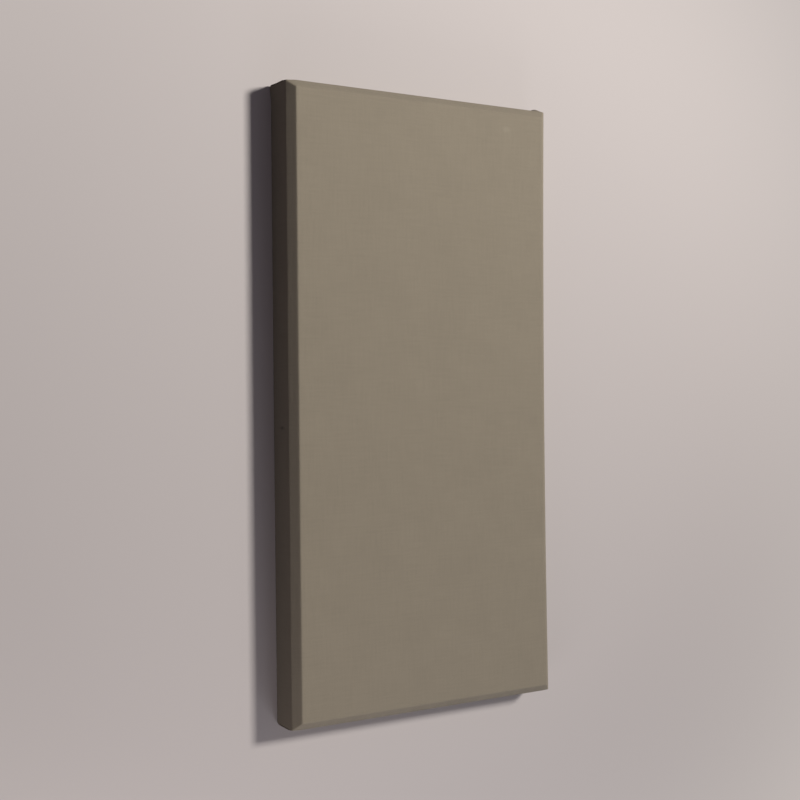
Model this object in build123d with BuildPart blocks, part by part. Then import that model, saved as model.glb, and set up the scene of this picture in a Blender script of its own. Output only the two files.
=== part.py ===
from build123d import *
from math import radians, sqrt, tan
import os

# Fabric acoustic wall panel, in millimetres, lying on its back with its face up.
# The origin is the centre of the back, +X runs across the width, +Y along the length
# and +Z out of the face.

# The finished panel, over its fabric
panel_width = 609.6
panel_length = 1219.2
panel_thickness = 76.2
panel_bevel = 15.0  # leg of the 45 degree bevel along each front edge

# Rounding of the bare board's edges
board_face_radius = 4.2  # where the face meets a bevel
board_side_radius = 1.9  # where a bevel meets an edge
board_back_radius = 1.0  # where an edge meets the back
board_corner_radius = 1.7  # the four corners, seen from the front

# The fabric that is wrapped over the board
fabric_thickness = 0.8
hem_width = 50.0  # turned in on the back, from each edge
mitre_gap = 0.6  # between two hems, where they meet at a corner
fold_width = 38.0  # of the surplus cloth folded flat at both ends of each short edge
fold_layers = 2  # of cloth in such a fold, on top of the cover itself
fold_slope = 45.0  # of a fold's rim, in degrees

# The cover's rounding lies outside the board's
cover_side_radius = board_side_radius + fabric_thickness
cover_back_radius = board_back_radius + fabric_thickness
cover_corner_radius = board_corner_radius + fabric_thickness


def draw_section(span, inset):
    """Draws a cut across the panel, drawn in by inset: flat back, upright edges and two bevels."""
    wrap = fabric_thickness - inset
    with Locations((0, inset)):
        Rectangle(span, panel_thickness - 2 * inset, align=(Align.CENTER, Align.MIN))
    fillet(vertices().group_by(Axis.Y)[0], radius=board_back_radius + wrap)
    chamfer(vertices().group_by(Axis.Y)[-1], length=panel_bevel - (2 - sqrt(2)) * inset)
    fillet(vertices().group_by(Axis.Y)[-2], radius=board_side_radius + wrap)
    fillet(vertices().group_by(Axis.Y)[-1], radius=board_face_radius + wrap)


def bevelled_slab(inset):
    """Returns the panel's outer shape, drawn in by inset on every side."""
    width = panel_width - 2 * inset
    length = panel_length - 2 * inset
    with BuildPart() as slab:
        with BuildSketch(Plane.XZ):
            draw_section(width, inset)
        extrude(amount=length / 2, both=True)
        with BuildSketch(Plane.YZ):
            draw_section(length, inset)
        extrude(amount=width / 2, both=True, mode=Mode.INTERSECT)
        with BuildSketch(Plane.XY):
            RectangleRounded(width, length, cover_corner_radius - inset)
        extrude(amount=panel_thickness, mode=Mode.INTERSECT)
    return slab.part


# Rigid glass-wool board with its front edges bevelled
with BuildPart() as glass_wool_core:
    add(bevelled_slab(inset=fabric_thickness))

glass_wool_core.part.label = "glass_wool_core"

# The folds lie on the flat band of each short edge, out to the corners' rounding
fold_rise = fold_layers * fabric_thickness
fold_foot = cover_back_radius
fold_top = panel_thickness - panel_bevel - cover_side_radius * tan(radians(45) / 2)
fold_middle_x = panel_width / 2 - cover_corner_radius - fold_width / 2
short_edges = [
    Plane(origin=(0, end * panel_length / 2, 0), x_dir=(-end, 0, 0), z_dir=(0, end, 0))
    for end in (-1, 1)
]

# The slits between the hems run out of the bare back, to this far from the edges
mitre_start = hem_width + mitre_gap
mitre_end = cover_corner_radius + mitre_gap

# One sheet of fabric over the face, the bevels and the edges, turned in on the back
with BuildPart() as fabric_cover:
    add(bevelled_slab(inset=0))
    add(glass_wool_core.part, mode=Mode.SUBTRACT)

    # The back stays bare inside the hems
    with BuildSketch(Plane.XY):
        Rectangle(panel_width - 2 * hem_width, panel_length - 2 * hem_width)
    extrude(amount=fabric_thickness, mode=Mode.SUBTRACT)

    # The hems are mitred, with a slit at each corner
    with BuildSketch(Plane.XY):
        with BuildLine():
            Line(
                (panel_width / 2 - mitre_start, panel_length / 2 - mitre_start),
                (panel_width / 2 - mitre_end, panel_length / 2 - mitre_end),
            )
        trace(line_width=mitre_gap)
        mirror(about=Plane.YZ)
        mirror(about=Plane.XZ)
    extrude(amount=fabric_thickness, mode=Mode.SUBTRACT)

    # Surplus cloth, folded flat
    with BuildSketch(*short_edges):
        with Locations((0, (fold_foot + fold_top) / 2)):
            with GridLocations(2 * fold_middle_x, 0, 2, 1):
                Rectangle(fold_width, fold_top - fold_foot)
    extrude(amount=fold_rise, taper=fold_slope)

fabric_cover.part.label = "fabric_cover"

os.makedirs("parts", exist_ok=True)
export_step(glass_wool_core.part, "parts/glass_wool_core.step")
export_step(fabric_cover.part, "parts/fabric_cover.step")
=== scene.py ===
import math
from typing import NamedTuple

import bmesh
import bpy
import numpy as np
from mathutils import Matrix, Vector, noise


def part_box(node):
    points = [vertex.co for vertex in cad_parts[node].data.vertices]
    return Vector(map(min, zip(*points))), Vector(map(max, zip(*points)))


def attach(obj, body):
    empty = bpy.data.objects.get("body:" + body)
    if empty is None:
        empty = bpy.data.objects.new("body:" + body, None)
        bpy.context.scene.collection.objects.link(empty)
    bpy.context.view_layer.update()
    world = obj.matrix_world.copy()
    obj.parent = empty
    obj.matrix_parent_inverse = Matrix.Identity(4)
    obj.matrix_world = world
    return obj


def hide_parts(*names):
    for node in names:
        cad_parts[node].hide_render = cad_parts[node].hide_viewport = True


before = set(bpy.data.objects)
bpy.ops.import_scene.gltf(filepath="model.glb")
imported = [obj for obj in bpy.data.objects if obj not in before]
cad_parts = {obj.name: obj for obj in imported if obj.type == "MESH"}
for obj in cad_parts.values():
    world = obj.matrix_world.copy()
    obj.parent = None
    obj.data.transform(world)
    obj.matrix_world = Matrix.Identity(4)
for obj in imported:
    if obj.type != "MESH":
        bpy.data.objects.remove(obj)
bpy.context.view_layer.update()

MM = 0.001

# The panel as packed: it lies on its back, +X across, +Y along, +Z out of the face
CORE_LOW, CORE_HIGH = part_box("glass_wool_core")
COVER_LOW, COVER_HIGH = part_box("fabric_cover")
CLOTH = CORE_LOW[2] - COVER_LOW[2]
WIDTH = COVER_HIGH[0] - COVER_LOW[0]
LENGTH = CORE_HIGH[1] - CORE_LOW[1] + 2 * CLOTH
HEIGHT = COVER_HIGH[2]

# Its section, over the fabric
BEVEL = 15.0 * MM
FACE_RADIUS = 5.0 * MM
SIDE_RADIUS = 2.7 * MM
BACK_RADIUS = 1.8 * MM
CORNER_RADIUS = 2.5 * MM
HEM = 50.0 * MM
FLAT_TOP = HEIGHT - BEVEL - SIDE_RADIUS * math.tan(math.radians(45) / 2)  # of the upright edges
CLOTH_SHOWN = 0.88 * CLOTH  # a little thinner than in the solids, so that layers don't touch
BOARD_CLEARANCE = 0.05 * MM  # inside the solid cover

# The grid of the modelled cloth
RIM = 27.0 * MM  # the levels of the bevels and edges start this far in on the face
ARC_STEPS = 5  # in each rounding of the section
CORNER_STEPS = 3  # in an eighth of a turn
FACE_SPACING = 4.0 * MM
BEVEL_SPACING = 3.5 * MM
EDGE_SPACING = 2.4 * MM
HEM_SPACING = 8.0 * MM
END_SPACING = 2.0 * MM  # between columns near a corner
END_BAND = 48.0 * MM  # over which they stay that close
GROWTH = 1.25  # of the spacing from each column to the next, from there on
MOST_SPACING = 20.0 * MM
TOUCHING = 1e-6  # metres, within which two places are one
SHORTEST_EDGE = 1e-7  # metres, below which an edge is dissolved

# The fold at each corner: the long edge's cloth turns the corner as a tab, and the short
# edge's cloth lies over it, folded under along the corner
TAB = 34.0 * MM
UNDER_SHARE = 0.85  # of the tab's width, that the cloth runs back under itself
TAB_STEPS = 8
TURN_STEPS = 5
UNDER_STEPS = 5
FOLD_STEP = 6.0 * MM  # over which the cloth comes down from the fold to the board
FOLD_GAP = 0.1 * MM
OPENING = 14.0 * MM  # over which a fold opens below the bevel
CLOSING = 3.5 * MM  # over which it closes above the back
HUMP_START = 1.0 * MM  # from the corner
HUMP_SPAN = 33.0 * MM
HUMP_FLANK = 0.42  # of its span, that it rises and falls over
HUMP_DEPTH = 6.0 * MM  # over which it fades above its middle
HUMP_TAIL = 17.0 * MM  # over which it fades below it

# By corner, as (side in x, side in y): how high its fold stands, and its hump below the
# bevel as (height, distance below)
FOLD_RISE = {
    (-1, -1): 1.8 * MM,
    (1, -1): 1.7 * MM,
    (-1, 1): 1.7 * MM,
    (1, 1): 2.0 * MM,
}
FOLD_HUMP = {
    (-1, -1): (0.7 * MM, 12 * MM),
    (1, -1): (0.5 * MM, 16 * MM),
    (-1, 1): (1.3 * MM, 11 * MM),
    (1, 1): (4.4 * MM, 6.5 * MM),
}

# How far corners of the panel are pressed in along its length, as (at the back, at the face, span)
CORNER_DENTS = {
    (-1, -1): (3.4 * MM, 0.2 * MM, 26 * MM),
    (1, -1): (1.0 * MM, 0.2 * MM, 20 * MM),
    (-1, 1): (3.6 * MM, 1.4 * MM, 26 * MM),
    (1, 1): (0.8 * MM, 0.4 * MM, 16 * MM),
}
DENT_REACH = 3  # spans along the panel, where a dent is one span wide across it

# Slack and bow that the photograph shows
RIGHT_BOW = 4.6 * MM  # the right edge draws in by this at its middle
LEFT_BOW = -0.6 * MM
BOW_POWER = 3  # of the distance from the middle line, so that most of a bow is near the edge
EAR_OUT = 2.6 * MM  # the cloth that stands off at the back of the top left corner
EAR_SPAN = 30.0 * MM
EAR_DEPTH = 6.0 * MM  # in from the edge

# The slack of the cloth, as (height, waves to a metre along each axis, shift in the noise),
# and the hollows of the board's bare back, with their lumps as (share, lumps to a metre)
SLACK = (0.16 * MM, (4.1, 3.3, 4.0), 0.0)
RIPPLES = (0.10 * MM, (17.0, 17.0, 30.0), 7.0)
BACK_HOLLOWS = 0.35 * MM
LUMPS = [(1.0, 22.0), (0.5, 61.0)]
BACK_BAND = 4.0 * MM  # above the back, over which the slack grows and the hollows fade

# The hems as cut by hand
MITRE_GAP = 0.6 * MM
MITRE_START = 0.05 * MM  # from a hem to the mitre's line, on the back's rounding
MITRE_FLARE = 3 * BACK_RADIUS  # from the edge, where the gap has its full width
MITRE_OPENING = {  # by which the gap is wider at its inner end, measured along an edge
    (-1, -1): 1.6 * MM,
    (1, -1): 0.8 * MM,
    (-1, 1): 1.1 * MM,
    (1, 1): 2.0 * MM,
}
HEM_WANDER = 1.3 * MM
HEM_WAVES = 9.0  # to a metre
HEMS_APART = (5.0, 3.0)  # in the noise, by side and by axis, so that no two stray alike


def smooth(x):
    """0 below 0 and 1 above 1, with a soft start and end."""
    x = min(max(x, 0.0), 1.0)
    return x * x * (3 - 2 * x)


# The section

class Level(NamedTuple):
    """One ring round the panel, on the way from its face over bevel and edge to the back."""

    inset: float  # from the panel's edge
    height: float
    along: float  # the distance from the first level, along the cloth
    below: float  # the distance from the top of the folds, along the cloth
    on_back: bool
    folded: bool  # at its corners, as the cloth is and the board isn't
    opening: float  # how far its folds are open, from 0 to 1
    radius: float  # of its corners, seen from the front


def divided(start, end, spacing):
    """Points from start to end, about that far apart, without start."""
    parts = max(1, round((end - start).length / spacing))
    return [start.lerp(end, (n + 1) / parts) for n in range(parts)]


def rounded_path(points, radii, spacings):
    """Points along a path whose inner corners are rounded, with its straight runs divided."""
    corners = [Vector(point) for point in points]
    path = [corners[0]]
    for k, radius in enumerate(radii):
        corner = corners[k + 1]
        before = (corners[k] - corner).normalized()
        after = (corners[k + 2] - corner).normalized()
        turn = math.pi - before.angle(after)
        reach = radius * math.tan(turn / 2)
        centre = corner + (before + after).normalized() * radius / math.cos(turn / 2)
        first, last = corner + before * reach, corner + after * reach
        path += divided(path[-1], first, spacings[k])
        for step in range(1, ARC_STEPS + 1):
            angle = turn * step / ARC_STEPS
            spoke = (first - centre) * math.sin(turn - angle) + (last - centre) * math.sin(angle)
            path.append(centre + spoke / math.sin(turn))
    return path + divided(path[-1], corners[-1], spacings[-1])


def corner_radius(inset, drawn_in):
    """The corner's rounding as seen from the front: none on the face, full from the bevel on."""
    full = CORNER_RADIUS - drawn_in
    return full * smooth((RIM - inset) / (RIM - BEVEL - FACE_RADIUS))


def section(drawn_in, inner_end, folded):
    """The levels of the panel's shape drawn in by that much, as far as inner_end on the back."""
    top, bottom = HEIGHT - drawn_in, drawn_in
    leg = BEVEL - (2 - math.sqrt(2)) * drawn_in  # so that the bevel moves in by drawn_in too
    bevel = [(drawn_in + leg, top), (drawn_in, top - leg)]
    path = rounded_path(
        [(RIM, top), *bevel, (drawn_in, bottom), (inner_end, bottom)],
        [FACE_RADIUS - drawn_in, SIDE_RADIUS - drawn_in, BACK_RADIUS - drawn_in],
        [FACE_SPACING, BEVEL_SPACING, EDGE_SPACING, HEM_SPACING],
    )
    lengths = [0.0]
    for start, end in zip(path, path[1:]):
        lengths.append(lengths[-1] + (end - start).length)

    def length_to(height):
        """The distance along the cloth to the first point that is down at this height."""
        return next(along for point, along in zip(path, lengths) if point.y <= height + TOUCHING)

    folds_from, back_from = length_to(FLAT_TOP), length_to(BACK_RADIUS)
    levels = []
    for point, along in zip(path, lengths):
        below, above_back = along - folds_from, back_from - along
        opening = smooth(below / OPENING) * smooth(above_back / CLOSING) if folded else 0.0
        radius = corner_radius(point.x, drawn_in)
        levels.append(Level(point.x, point.y, along, below, above_back < 0, folded, opening, radius))
    return levels


# The rows of points along the edges

def graded(half):
    """Places from -1 to 1 along an edge of that half length, closer together near its ends."""
    steps, spacing = [0.0], END_SPACING
    while steps[-1] < half:
        steps.append(steps[-1] + spacing)
        if steps[-1] > END_BAND:
            spacing = min(spacing * GROWTH, MOST_SPACING)
    ends = [step / steps[-1] for step in steps[:-1]]
    return [end - 1 for end in ends] + [0.0] + [1 - end for end in reversed(ends)]


ACROSS = graded(WIDTH / 2 - RIM)
ALONG = graded(LENGTH / 2 - RIM)


def hump(corner, from_corner, below):
    """How far the cloth bunches out beside a corner, round the top of its fold."""
    share = (from_corner - HUMP_START) / HUMP_SPAN
    height, middle = FOLD_HUMP[corner]
    across = smooth(share / HUMP_FLANK) * smooth((1 - share) / HUMP_FLANK)
    depth = HUMP_DEPTH if below < middle else HUMP_TAIL
    return height * across * math.exp(-(((below - middle) / depth) ** 2))


def mitre(corner, level):
    """How far the cloth's end on the back stays from the mitre's line at that corner."""
    if not (level.folded and level.on_back):
        return 0.0
    if level.inset <= BACK_RADIUS:
        return MITRE_START
    cut = smooth(level.inset / MITRE_FLARE) * MITRE_GAP / math.sqrt(2)
    return cut + MITRE_OPENING[corner] * (level.inset / HEM) ** 2 / 2


def tab_width(level):
    """How far the long edge's cloth reaches round the corner. It widens down from the bevel."""
    return min(TAB, max(level.below, 0.0))


def tab_end(side, end, level):
    """A long edge's points at one end, as on the +X side: round the corner, and along the tab."""
    half_x, half_y = WIDTH / 2 - level.inset, LENGTH / 2 - level.inset
    cut = mitre((side, end), level)
    turn = math.radians(45 + 45 * level.opening)
    points = []
    for step in range(1, CORNER_STEPS + 1):
        angle = turn * step / CORNER_STEPS
        x = half_x - level.radius * (1 - math.cos(angle))
        y = half_y - cut - level.radius * (1 - math.sin(angle))
        points.append((x, end * y))
    if level.folded:
        last_x, last_y = points[-1]
        reach = tab_width(level) * level.opening
        points += [(last_x - reach * step / TAB_STEPS, last_y) for step in range(1, TAB_STEPS + 1)]
    return points


def long_row(side, level):
    """Points of one level of a long edge, as (x, y) with y rising, with the tabs at both ends."""
    half_x, half_y = WIDTH / 2 - level.inset, LENGTH / 2 - level.inset
    reach = {end: half_y - level.radius - mitre((side, end), level) for end in (-1, 1)}
    straight = [(half_x, share * reach[-1 if share < 0 else 1]) for share in ALONG]
    row = tab_end(side, -1, level)[::-1] + straight + tab_end(side, 1, level)
    return [(side * x, y) for x, y in row]


def lift(side, end, level, x):
    """How far a short edge's cloth lies out at x, over the fold at that end."""
    if not level.folded or level.on_back:
        return 0.0
    from_corner = WIDTH / 2 - level.inset - end * x
    over = smooth((tab_width(level) + FOLD_STEP - from_corner) / FOLD_STEP)
    rise = FOLD_RISE[(end, side)] * level.opening * over
    return rise + hump((end, side), from_corner, level.below)


def fold_end(side, end, level):
    """A short edge's points at one end, as on the +Y side: out to the corner, and back under.

    Where the fold is shut, what would lie under it shrinks to a point at the corner.
    """
    half_x, half_y = WIDTH / 2 - level.inset, LENGTH / 2 - level.inset
    cut = mitre((end, side), level)
    rise = lift(side, end, level, end * half_x)
    bend = max((rise - FOLD_GAP) / 2, 0.0)
    shut, opened = [], []
    for step in range(1, CORNER_STEPS + 1):
        angle = math.radians(45) * step / CORNER_STEPS
        x = half_x - cut - level.radius * (1 - math.sin(angle))
        shut.append((x, half_y - level.radius * (1 - math.cos(angle))))
        across = (level.radius - bend) * step / CORNER_STEPS
        opened.append((half_x - level.radius + across, half_y + rise))
    if level.folded:
        shut += [shut[-1]] * (TURN_STEPS + UNDER_STEPS)
        for step in range(1, TURN_STEPS + 1):
            angle = math.pi * step / TURN_STEPS
            x = half_x - bend + bend * math.sin(angle)
            opened.append((x, half_y + FOLD_GAP + bend * (1 + math.cos(angle))))
        under = UNDER_SHARE * tab_width(level)
        for step in range(1, UNDER_STEPS + 1):
            opened.append((half_x - bend - under * step / UNDER_STEPS, half_y + FOLD_GAP))
    points = [Vector(a).lerp(Vector(b), level.opening) for a, b in zip(shut, opened)]
    return [(end * x, y) for x, y in points]


def short_row(side, level):
    """Points of one level of a short edge, as (x, y) with x rising, folded under at both ends."""
    half_x, half_y = WIDTH / 2 - level.inset, LENGTH / 2 - level.inset
    reach = {end: half_x - level.radius - mitre((end, side), level) for end in (-1, 1)}
    straight = []
    for share in ACROSS:
        x = share * reach[-1 if share < 0 else 1]
        straight.append((x, half_y + lift(side, -1, level, x) + lift(side, 1, level, x)))
    row = fold_end(side, -1, level)[::-1] + straight + fold_end(side, 1, level)
    return [(x, side * y) for x, y in row]


# Dents, bow and slack

def settle(point, cloth):
    """Moves a point as the panel's bow and dents do. The cloth also stands off at its ear."""
    x, y, z = point
    side_x, side_y = (1 if x > 0 else -1), (1 if y > 0 else -1)
    from_side = max(WIDTH / 2 - abs(x), 0.0)
    from_end = max(LENGTH / 2 - abs(y), 0.0)
    at_back, at_face, span = CORNER_DENTS[(side_x, side_y)]
    deep = at_back + (at_face - at_back) * z / HEIGHT
    y -= side_y * deep * smooth(1 - from_side / span) * smooth(1 - from_end / (DENT_REACH * span))
    along = 1 - (2 * y / LENGTH) ** 2
    bow = RIGHT_BOW if side_x > 0 else LEFT_BOW
    x -= side_x * bow * along * abs(2 * x / WIDTH) ** BOW_POWER
    if cloth and side_x < 0 < side_y:
        lean = smooth(1 - from_end / EAR_SPAN) * smooth(1 - z / EAR_SPAN)
        x -= EAR_OUT * lean * smooth(1 - from_side / EAR_DEPTH)
    return x, y, z


def relief(point):
    """The slack of the stretched cloth, in metres, with none of it at the back."""
    total = 0.0
    for height, waves, shift in (SLACK, RIPPLES):
        x, y, z = (value * often for value, often in zip(point, waves))
        total += height * noise.noise(Vector((x, y, z + shift)))
    return total * smooth(point.z / BACK_BAND)


def hollow(place):
    """How far the board's bare back is hollowed at this place, in metres."""
    lumps = sum(share * noise.noise(place * often) for share, often in LUMPS)
    return BACK_HOLLOWS * (1 + lumps) * smooth(1 - place.z / BACK_BAND)


def wander(grid, side, axis, levels):
    """Lets the cut edge of the hem on that side of that axis stray to and fro, as shears do."""
    by_side, by_axis = HEMS_APART
    for points, level in zip(grid, levels):
        share = smooth(2 * level.inset / HEM - 1) if level.height < BACK_RADIUS else 0.0
        for point in points:
            line = Vector((point[1 - axis] * HEM_WAVES, side * by_side, axis * by_axis))
            point[axis] += side * HEM_WANDER * noise.noise(line) * share


# Meshes

def strip_grid(rows_of, side, levels):
    """One edge's strip: its points as (levels, columns, 3), and their places along each level."""
    grid, lengths = [], []
    for level in levels:
        row = np.array(rows_of(side, level))
        steps = np.linalg.norm(np.diff(row, axis=0), axis=1).cumsum()
        lengths.append(np.concatenate([[0.0], steps]) - steps[-1] / 2)
        grid.append(np.column_stack([row, np.full(len(row), level.height)]))
    return np.array(grid), np.array(lengths)


def add_grid(bm, uv_layer, grid, flat, flipped):
    """Adds a grid of points as quads, with the cloth's own flat coordinates as its UV map.

    Gives its vertices, row by row.
    """
    rows, columns = grid.shape[:2]
    verts = [[bm.verts.new(point) for point in row] for row in grid]
    for r in range(rows - 1):
        for c in range(columns - 1):
            ring = [(r, c), (r, c + 1), (r + 1, c + 1), (r + 1, c)]
            if flipped:
                ring.reverse()
            face = bm.faces.new([verts[i][j] for i, j in ring])
            face.smooth = True
            for loop, (i, j) in zip(face.loops, ring):
                loop[uv_layer].uv = flat[i, j]
    return verts


def add_strips(bm, uv_layer, levels):
    """Adds the four strips over the bevels and edges, and gives the vertices that may be joined.

    The cloth's strips join at the corners down to the top of the folds, and the board's all over.
    """
    joined = []
    for rows_of, axis, half in ((long_row, 0, WIDTH / 2), (short_row, 1, LENGTH / 2)):
        for side in (-1, 1):
            grid, lengths = strip_grid(rows_of, side, levels)
            if levels[0].folded:
                wander(grid, side, axis, levels)
            outward = np.array([side * (half - RIM + level.along) for level in levels])
            flat = [np.broadcast_to(outward[:, None], lengths.shape), lengths]
            if axis == 1:
                flat.reverse()
            flipped = (side > 0) != (axis == 1)
            rows = add_grid(bm, uv_layer, grid, np.stack(flat, axis=-1), flipped)
            for level, row in zip(levels, rows):
                if not level.folded or level.below <= TOUCHING:
                    joined += row
    return joined


def add_plane(bm, uv_layer, height, flipped):
    """Adds a flat grid inside the rim, at that height, and gives its vertices."""
    x = np.array(ACROSS) * (WIDTH / 2 - RIM)
    y = np.array(ALONG) * (LENGTH / 2 - RIM)
    xx, yy = np.meshgrid(x, y, indexing="ij")
    grid = np.stack([xx, yy, np.full(xx.shape, height)], axis=-1)
    return [vertex for row in add_grid(bm, uv_layer, grid, grid[..., :2], flipped) for vertex in row]


def slab_mesh(name, levels):
    """The panel's shape as a mesh: four strips over the bevels and edges, and the face.

    The folded one is the cloth, open below the bevel at its corners and over the back. The
    other is the closed board.
    """
    bm = bmesh.new()
    uv_layer = bm.loops.layers.uv.new("cloth")
    joined = add_strips(bm, uv_layer, levels)
    joined += add_plane(bm, uv_layer, levels[0].height, flipped=True)
    if not levels[0].folded:
        joined += add_plane(bm, uv_layer, levels[-1].height, flipped=False)
    bmesh.ops.remove_doubles(bm, verts=joined, dist=TOUCHING)
    bmesh.ops.dissolve_degenerate(bm, edges=bm.edges, dist=SHORTEST_EDGE)
    mesh = bpy.data.meshes.new(name)
    bm.to_mesh(mesh)
    bm.free()
    return mesh


def link(mesh):
    """A new object of that mesh and its name, in the scene."""
    piece = bpy.data.objects.new(mesh.name, mesh)
    bpy.context.scene.collection.objects.link(piece)
    return piece


def move_vertices(mesh, moved):
    """Sets each vertex to moved(its place, its normal)."""
    places = [(v.co.copy(), v.normal.copy()) for v in mesh.vertices]
    for vertex, (place, normal) in zip(mesh.vertices, places):
        vertex.co = moved(place, normal)
    mesh.update()


def apply_modifiers(piece, sharp_over):
    """Replaces a piece's mesh by its modified one, and marks its edges over that angle as sharp."""
    graph = bpy.context.evaluated_depsgraph_get()
    mesh = bpy.data.meshes.new_from_object(piece.evaluated_get(graph))
    piece.modifiers.clear()
    piece.data = mesh
    mesh.set_sharp_from_angle(angle=math.radians(sharp_over))


# Shader nodes

def node(tree, kind, inputs=None, **settings):
    """A shader node with its settings, and its inputs set to values or linked to sockets."""
    made = tree.nodes.new(kind)
    for key, value in settings.items():
        setattr(made, key, value)
    for key, value in (inputs or {}).items():
        if isinstance(value, bpy.types.NodeSocket):
            tree.links.new(value, made.inputs[key])
        else:
            made.inputs[key].default_value = value
    return made


def maths(tree, operation, a, b=0.0):
    """The result of one operation on values."""
    return node(tree, "ShaderNodeMath", {0: a, 1: b}, operation=operation).outputs[0]


def greatest(tree, first, *others):
    """The greatest of several values."""
    for other in others:
        first = maths(tree, "MAXIMUM", first, other)
    return first


def vector_maths(tree, operation, *inputs):
    """The result of one operation on vectors."""
    return node(
        tree, "ShaderNodeVectorMath", dict(enumerate(inputs)), operation=operation
    ).outputs["Value" if operation == "LENGTH" else "Vector"]


def mixed(tree, factor, a, b, blend="MIX"):
    """Two colours mixed."""
    factor_input, a_input, b_input, result = 0, 6, 7, 2  # the sockets of a mix of colours
    inputs = {factor_input: factor, a_input: a, b_input: b}
    return node(tree, "ShaderNodeMix", inputs, data_type="RGBA", blend_type=blend).outputs[result]


def shaded(tree, colour, light):
    """A colour times one value."""
    grey = node(tree, "ShaderNodeCombineXYZ", {0: light, 1: light, 2: light}).outputs[0]
    return mixed(tree, 1.0, colour, grey, "MULTIPLY")


def ranged(tree, value, given, wanted, interpolation="LINEAR"):
    """A value moved from one range to another, each as (from, to), and kept within it."""
    inputs = {
        "Value": value,
        "From Min": given[0],
        "From Max": given[1],
        "To Min": wanted[0],
        "To Max": wanted[1],
    }
    return node(tree, "ShaderNodeMapRange", inputs, interpolation_type=interpolation).outputs[0]


def noise_at(tree, place, scale, detail=1.0, roughness=0.5, output="Fac", flat=True):
    """A noise texture's value at a place."""
    return node(
        tree,
        "ShaderNodeTexNoise",
        {"Vector": place, "Scale": scale, "Detail": detail, "Roughness": roughness},
        noise_dimensions="2D" if flat else "3D",
    ).outputs[output]


def strayed(tree, place, stray, reach):
    """A place moved by a noise's colour times the reach along each axis."""
    return vector_maths(tree, "MULTIPLY_ADD", stray, reach, place)


def rgba(red, green, blue):
    """A linear colour from the three values of a screen colour."""
    def linear(value):
        value /= 255
        return value / 12.92 if value <= 0.04045 else ((value + 0.055) / 1.055) ** 2.4
    return linear(red), linear(green), linear(blue), 1.0


def new_material(name):
    """A material with its tree and its Principled shader."""
    made = bpy.data.materials.new(name)
    made.use_nodes = True
    return made, made.node_tree, made.node_tree.nodes["Principled BSDF"]


def bump(tree, shader, height, strength, distance):
    """Gives the shader a bump of that height."""
    inputs = {"Strength": strength, "Distance": distance, "Height": height}
    tree.links.new(node(tree, "ShaderNodeBump", inputs).outputs[0], shader.inputs["Normal"])


def set_even(shader, values):
    """Sets the shader's inputs that are the same all over the surface."""
    for key, value in values.items():
        shader.inputs[key].default_value = value


# The fabric

YARN = 1.15 * MM
FABRIC_WARP = rgba(147, 137, 119)
FABRIC_WEFT = rgba(138, 128, 112)
STRAY = (4 * MM, 4 * MM, 0.0)  # of a yarn from its straight line, at most
STRAY_WAVES = 5.0  # to a metre
SHADES = 14.0  # to a metre of yarn
SLUBS_ACROSS, SLUBS_ALONG = 240.0, 17.0  # to a metre
SLUB_HEIGHT = 0.35  # of a yarn's
MOTTLES = 11.0  # to a metre

# What noises and the weave's height become, as (their range, the wanted range)
SLUB_TONE = ((0.75, 1.25), (0.98, 1.02))
MOTTLE_TONE = ((0.3, 0.7), (0.985, 1.015))
# painted shade: the gaps between the yarns darker than their tops
WEAVE_GAP_SHADE = ((0.12, 0.7), (0.78, 1.05))
WEAVE_ROUGHNESS = ((0.0, 1.0), (0.97, 0.84))


class MarkOrShade(NamedTuple):
    """A small soft mark or patch of painted shade, with its place and size on the cloth's flat
    coordinates.
    """

    middle: tuple
    size: tuple
    strength: float
    colour: tuple


# The marks that the photograph shows, a pale scuff on the face and a dark spot on the left edge,
# and painted shade in the pleat at the top right corner
MARKS_AND_SHADE = [
    MarkOrShade((196 * MM, 560 * MM), (26 * MM, 17 * MM), 0.14, rgba(186, 178, 158)),
    MarkOrShade((-WIDTH / 2 - 32 * MM, -42 * MM), (26 * MM, 9 * MM), 0.45, rgba(44, 37, 36)),
    # painted shade in the pleat at the top right corner, darker than the fold's own shading
    MarkOrShade((WIDTH / 2 - 17 * MM, LENGTH / 2 + 11 * MM), (40 * MM, 20 * MM), 0.6, rgba(62, 55, 52)),
]
MARK_OR_SHADE_FADE = ((0.3, 1.0), (1.0, 0.0))  # by the distance from its middle, in half sizes
BLOTCHES = 90.0  # to a metre
BLOTCH_RANGE = (0.3, 0.7)
FAINTEST = 0.4  # of the strength of a mark or of the painted shade, between its blotches


def marked_or_shaded(tree, colour, place, mark_or_shade):
    """The colour with a soft, blotchy mark or patch of painted shade on it."""
    from_middle = vector_maths(tree, "SUBTRACT", place, (*mark_or_shade.middle, 0.0))
    in_sizes = vector_maths(tree, "MULTIPLY", from_middle, (2 / mark_or_shade.size[0], 2 / mark_or_shade.size[1], 0.0))
    inside = ranged(tree, vector_maths(tree, "LENGTH", in_sizes), *MARK_OR_SHADE_FADE)
    blotches = noise_at(tree, place, BLOTCHES, detail=2.0)
    strength = ranged(tree, blotches, BLOTCH_RANGE, (FAINTEST * mark_or_shade.strength, mark_or_shade.strength))
    return mixed(tree, maths(tree, "MULTIPLY", inside, strength), colour, mark_or_shade.colour)


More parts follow.
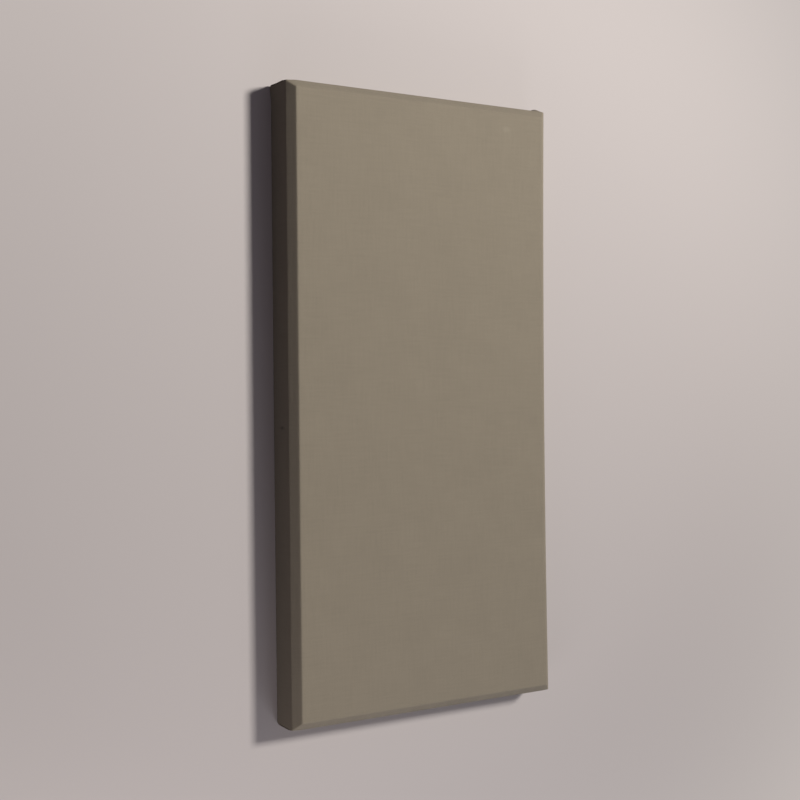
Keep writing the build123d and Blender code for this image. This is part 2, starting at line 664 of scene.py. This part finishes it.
def plain_weave(tree, place):
    """A plain weave's height, from 0 to 1, and where its warp lies on top."""
    parts = node(tree, "ShaderNodeSeparateXYZ", {0: place})
    yarns = [maths(tree, "DIVIDE", parts.outputs[k], YARN) for k in (0, 1)]
    waves = [maths(tree, "SINE", maths(tree, "MULTIPLY", yarn, math.pi)) for yarn in yarns]
    crossing = maths(tree, "MULTIPLY", *waves)
    warp = maths(tree, "ADD", maths(tree, "ABSOLUTE", waves[0]), crossing)
    weft = maths(tree, "SUBTRACT", maths(tree, "ABSOLUTE", waves[1]), crossing)
    height = maths(tree, "MULTIPLY", greatest(tree, warp, weft), 0.5)
    return height, maths(tree, "GREATER_THAN", warp, weft)


def streaks(tree, place, across, along, detail):
    """Two noises, with so many streaks to a metre: one along the warp, and one along the weft."""
    both = [(across, along, 1.0), (along, across, 1.0)]
    return [noise_at(tree, vector_maths(tree, "MULTIPLY", place, way), 1.0, detail) for way in both]


def yarn_colour(tree, place, warp_on_top):
    """The colour of the yarn on top. Each yarn has its own shade, which changes along it."""
    warp_shade, weft_shade = streaks(tree, place, 1 / YARN, SHADES, detail=1.0)
    warp = mixed(tree, warp_shade, FABRIC_WEFT, FABRIC_WARP)
    weft = mixed(tree, weft_shade, FABRIC_WARP, FABRIC_WEFT)
    return mixed(tree, warp_on_top, weft, warp)


def fabric_material():
    """A fine plain weave in two close shades of taupe, with uneven yarns."""
    made, tree, shader = new_material("taupe panel fabric")
    flat = node(tree, "ShaderNodeUVMap", uv_map="cloth").outputs[0]
    place = strayed(tree, flat, noise_at(tree, flat, STRAY_WAVES, output="Color"), STRAY)
    height, warp_on_top = plain_weave(tree, place)

    # Slubs a few yarns wide run both ways, over a faint mottling of the dye
    slubs = maths(tree, "ADD", *streaks(tree, place, SLUBS_ACROSS, SLUBS_ALONG, detail=2.0))
    mottle = noise_at(tree, flat, MOTTLES, detail=3.0)
    tone = maths(
        tree,
        "MULTIPLY",
        ranged(tree, slubs, *SLUB_TONE),
        ranged(tree, mottle, *MOTTLE_TONE),
    )
    # the tone of the slubs and mottling, times painted shade in the gaps between the yarns
    light = maths(tree, "MULTIPLY", tone, ranged(tree, height, *WEAVE_GAP_SHADE))
    colour = shaded(tree, yarn_colour(tree, place, warp_on_top), light)
    # the scuff and the spot, then the painted shade in the top right pleat
    for mark_or_shade in MARKS_AND_SHADE:
        colour = marked_or_shaded(tree, colour, flat, mark_or_shade)
    tree.links.new(colour, shader.inputs["Base Color"])
    tree.links.new(ranged(tree, height, *WEAVE_ROUGHNESS), shader.inputs["Roughness"])
    raised = maths(tree, "ADD", height, maths(tree, "MULTIPLY", slubs, SLUB_HEIGHT))
    bump(tree, shader, raised, strength=0.55, distance=0.3 * MM)
    set_even(shader, {"Specular IOR Level": 0.12, "Sheen Weight": 0.08, "Sheen Roughness": 0.5})
    return made


# The glass wool

WOOL_DARK = rgba(202, 183, 124)
WOOL_PALE = rgba(215, 199, 146)
RESIN = rgba(150, 112, 58)
PATCHES = 30.0  # to a metre
BEND = (12 * MM, 12 * MM, 12 * MM)  # of the fibres, at most
BEND_WAVES = 22.0  # to a metre
FIBRE_TURNS = (0.3, 1.1, 1.9, 2.7)  # radians
FIBRES = (1500.0, 130.0, 500.0)  # to a metre across them, along them and through the wool
GRAINS = 420.0  # to a metre
GRAIN_HEIGHT = 0.5  # of a fibre's
SPECKS = 60.0  # to a metre
CLUSTERS = 16.0  # of specks, to a metre

# What noises become, as (their range, the wanted range)
PATCH_SHARE = ((0.3, 0.7), (0.0, 1.0))
FIBRE_TONE = ((0.5, 0.8), (0.84, 1.1))
GRAIN_TONE = ((0.25, 0.75), (0.9, 1.08))
SPECK_SHARE = ((0.03, 0.10), (0.45, 0.0))
CLUSTER_SHARE = ((0.5, 0.62), (0.0, 1.0))


def matted_fibres(tree, place):
    """Short fibres that lie every which way in the plane: four directions over each other."""
    layers = []
    for turn in FIBRE_TURNS:
        turned = node(
            tree, "ShaderNodeVectorRotate", {"Vector": place, "Angle": turn}, rotation_type="Z_AXIS"
        ).outputs[0]
        drawn_out = vector_maths(tree, "MULTIPLY", turned, FIBRES)
        layers.append(noise_at(tree, drawn_out, 1.0, detail=2.0, flat=False))
    return greatest(tree, *layers)


def resin_specks(tree, place, bent):
    """How brown the resin makes the wool, in a few small specks."""
    distance = node(
        tree, "ShaderNodeTexVoronoi", {"Vector": bent, "Scale": SPECKS, "Randomness": 1.0}
    ).outputs["Distance"]
    clusters = noise_at(tree, place, CLUSTERS, flat=False)
    return maths(
        tree,
        "MULTIPLY",
        ranged(tree, distance, *SPECK_SHARE),
        ranged(tree, clusters, *CLUSTER_SHARE),
    )


def glass_wool_material():
    """Resin-bonded glass wool: matted fibres in uneven yellow, with a few brown specks of resin."""
    made, tree, shader = new_material("rigid glass wool")
    place = node(tree, "ShaderNodeTexCoord").outputs["Object"]
    patches = noise_at(tree, place, PATCHES, detail=5.0, roughness=0.7, flat=False)
    base = mixed(tree, ranged(tree, patches, *PATCH_SHARE), WOOL_DARK, WOOL_PALE)
    bends = noise_at(tree, place, BEND_WAVES, detail=2.0, output="Color", flat=False)
    bent = strayed(tree, place, bends, BEND)
    fibres = matted_fibres(tree, bent)
    grain = noise_at(tree, place, GRAINS, detail=3.0, roughness=0.7, flat=False)
    light = maths(
        tree,
        "MULTIPLY",
        ranged(tree, fibres, *FIBRE_TONE),
        ranged(tree, grain, *GRAIN_TONE),
    )
    colour = mixed(tree, resin_specks(tree, place, bent), shaded(tree, base, light), RESIN)
    tree.links.new(colour, shader.inputs["Base Color"])
    raised = maths(tree, "ADD", fibres, maths(tree, "MULTIPLY", grain, GRAIN_HEIGHT))
    bump(tree, shader, raised, strength=0.7, distance=0.5 * MM)
    set_even(shader, {"Roughness": 0.95, "Specular IOR Level": 0.2})
    return made


# The two pieces

def add_board():
    """The glass-wool board, which the cloth's slack follows. Its bare back is a little uneven."""
    levels = section(CLOTH + BOARD_CLEARANCE, RIM, folded=False)
    board = link(slab_mesh("glass_wool_board", levels))

    def moved(place, normal):
        raised = Vector((0.0, 0.0, hollow(place)))
        return Vector(settle(place, cloth=False)) + normal * relief(place) + raised

    move_vertices(board.data, moved)
    board.data.materials.append(glass_wool_material())
    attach(board, "root")
    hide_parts("glass_wool_core")


def add_cover():
    """The cloth that wraps the board, of real thickness, folded at its corners."""
    levels = section(0.0, HEM, folded=True)
    cover = link(slab_mesh("wrapped_fabric", levels))
    move_vertices(
        cover.data,
        lambda place, normal: Vector(settle(place, cloth=True)) + normal * relief(place),
    )
    thickness = cover.modifiers.new("thickness", "SOLIDIFY")
    thickness.thickness = CLOTH_SHOWN
    thickness.offset = -1
    cover.data.materials.append(fabric_material())
    apply_modifiers(cover, sharp_over=60)
    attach(cover, "root")
    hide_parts("fabric_cover")


# The studio

BACKDROP = rgba(196, 188, 184)
FLOOR_BOUNCE = rgba(100, 93, 96)  # the floor's colour for the light that it throws back
FLOOR_HALF = 20.0  # metres
FLOOR_LEVEL = -0.2 * MM
FLOOR_FADE = (0.8, 1.8)  # metres from the panel's middle, over which it becomes the backdrop
WORLD_LIGHT = (0.084, 0.077, 0.094, 1.0)

# The camera, fitted to the panel's edges in the photograph
CAMERA_AT = Vector((-1.4391, 0.0311, 2.1780 + HEIGHT))
CAMERA_YAW = math.radians(32.18)
CAMERA_PITCH = math.radians(0.52)
CAMERA_ROLL = math.radians(0.525)
FOCAL_PIXELS = 1318.9
PHOTO_PIXELS = 800


def seen_rays(tree):
    """1 for the rays that see the backdrop: the camera's, and those mirrored or let through."""
    rays = node(tree, "ShaderNodeLightPath").outputs
    return greatest(tree, rays["Is Camera Ray"], rays["Is Glossy Ray"], rays["Is Transmission Ray"])


def floor_material():
    """A plain pale floor that runs out into the backdrop's colour, well away from the panel.

    It lights the panel as a darker floor would, so that the edges stay dark.
    """
    made, tree, shader = new_material("pale floor")
    seen = seen_rays(tree)
    tree.links.new(mixed(tree, seen, FLOOR_BOUNCE, BACKDROP), shader.inputs["Base Color"])
    set_even(shader, {"Roughness": 0.9, "Specular IOR Level": 0.1})
    away = vector_maths(tree, "LENGTH", node(tree, "ShaderNodeTexCoord").outputs["Object"])
    fade = ranged(tree, away, FLOOR_FADE, (0.0, 1.0), "SMOOTHSTEP")
    backdrop = node(tree, "ShaderNodeEmission", {"Color": BACKDROP}).outputs[0]
    share = maths(tree, "MULTIPLY", fade, seen)
    blended = node(tree, "ShaderNodeMixShader", {0: share, 1: shader.outputs[0], 2: backdrop})
    tree.links.new(blended.outputs[0], tree.nodes["Material Output"].inputs["Surface"])
    return made


def add_floor():
    """A wide flat floor, just under the panel."""
    corners = [(-1, -1), (1, -1), (1, 1), (-1, 1)]
    mesh = bpy.data.meshes.new("floor")
    mesh.from_pydata(
        [(x * FLOOR_HALF, y * FLOOR_HALF, FLOOR_LEVEL) for x, y in corners], [], [(0, 1, 2, 3)]
    )
    floor = link(mesh)
    floor.data.materials.append(floor_material())


def add_camera():
    """The photograph's camera: it looks down on the panel from its left, with +Y up."""
    data = bpy.data.cameras.new("camera")
    data.sensor_width = 36.0
    data.lens = FOCAL_PIXELS / PHOTO_PIXELS * data.sensor_width
    camera = bpy.data.objects.new("camera", data)
    ahead = Vector(
        (
            math.sin(CAMERA_YAW) * math.cos(CAMERA_PITCH),
            -math.sin(CAMERA_PITCH),
            -math.cos(CAMERA_YAW) * math.cos(CAMERA_PITCH),
        )
    )
    level = Vector((math.cos(CAMERA_YAW), 0.0, math.sin(CAMERA_YAW)))
    down = ahead.cross(level)
    right = level * math.cos(CAMERA_ROLL) + down * math.sin(CAMERA_ROLL)
    up = level * math.sin(CAMERA_ROLL) - down * math.cos(CAMERA_ROLL)
    axes = Matrix((right, up, -ahead)).transposed()
    camera.matrix_world = Matrix.Translation(CAMERA_AT) @ axes.to_4x4()
    bpy.context.scene.collection.objects.link(camera)
    bpy.context.scene.camera = camera


def add_lamp(name, place, target, size, power, colour, spread=math.pi):
    """A square soft lamp that faces a target."""
    data = bpy.data.lights.new(name, "AREA")
    data.shape = "SQUARE"
    data.size = size
    data.energy = power
    data.spread = spread
    data.color = colour
    lamp = bpy.data.objects.new(name, data)
    lamp.location = place
    lamp.rotation_mode = "QUATERNION"
    lamp.rotation_quaternion = (Vector(target) - Vector(place)).to_track_quat("-Z", "Y")
    bpy.context.scene.collection.objects.link(lamp)


def add_lamps():
    """The key lamp, high over the top right, and two weak fills for the left and lower edges."""
    add_lamp(
        "key",
        place=(3.4, 1.9, 4.65),
        target=(-0.7, 2.3, 0.0),
        size=1.1,
        power=160.0,
        colour=(1.0, 0.985, 0.96),
        spread=math.radians(100),
    )
    add_lamp(
        "left_fill",
        place=(-0.8, -1.3, 0.5),
        target=(0.0, -0.5, 0.0),
        size=0.7,
        power=2.5,
        colour=(1.0, 0.94, 0.96),
    )
    add_lamp(
        "low_fill",
        place=(0.3, -2.0, 1.0),
        target=(0.1, -0.4, 0.0),
        size=0.9,
        power=7.5,
        colour=(0.88, 0.91, 1.0),
    )


def add_world():
    """Dim even light from all round, in front of a pale backdrop."""
    world = bpy.data.worlds.new("studio")
    world.use_nodes = True
    tree = world.node_tree
    colour = mixed(tree, seen_rays(tree), WORLD_LIGHT, BACKDROP)
    tree.links.new(colour, tree.nodes["Background"].inputs["Color"])
    bpy.context.scene.world = world


add_board()
add_cover()
add_floor()
add_camera()
add_lamps()
add_world()
bpy.context.scene.view_settings.view_transform = "Standard"
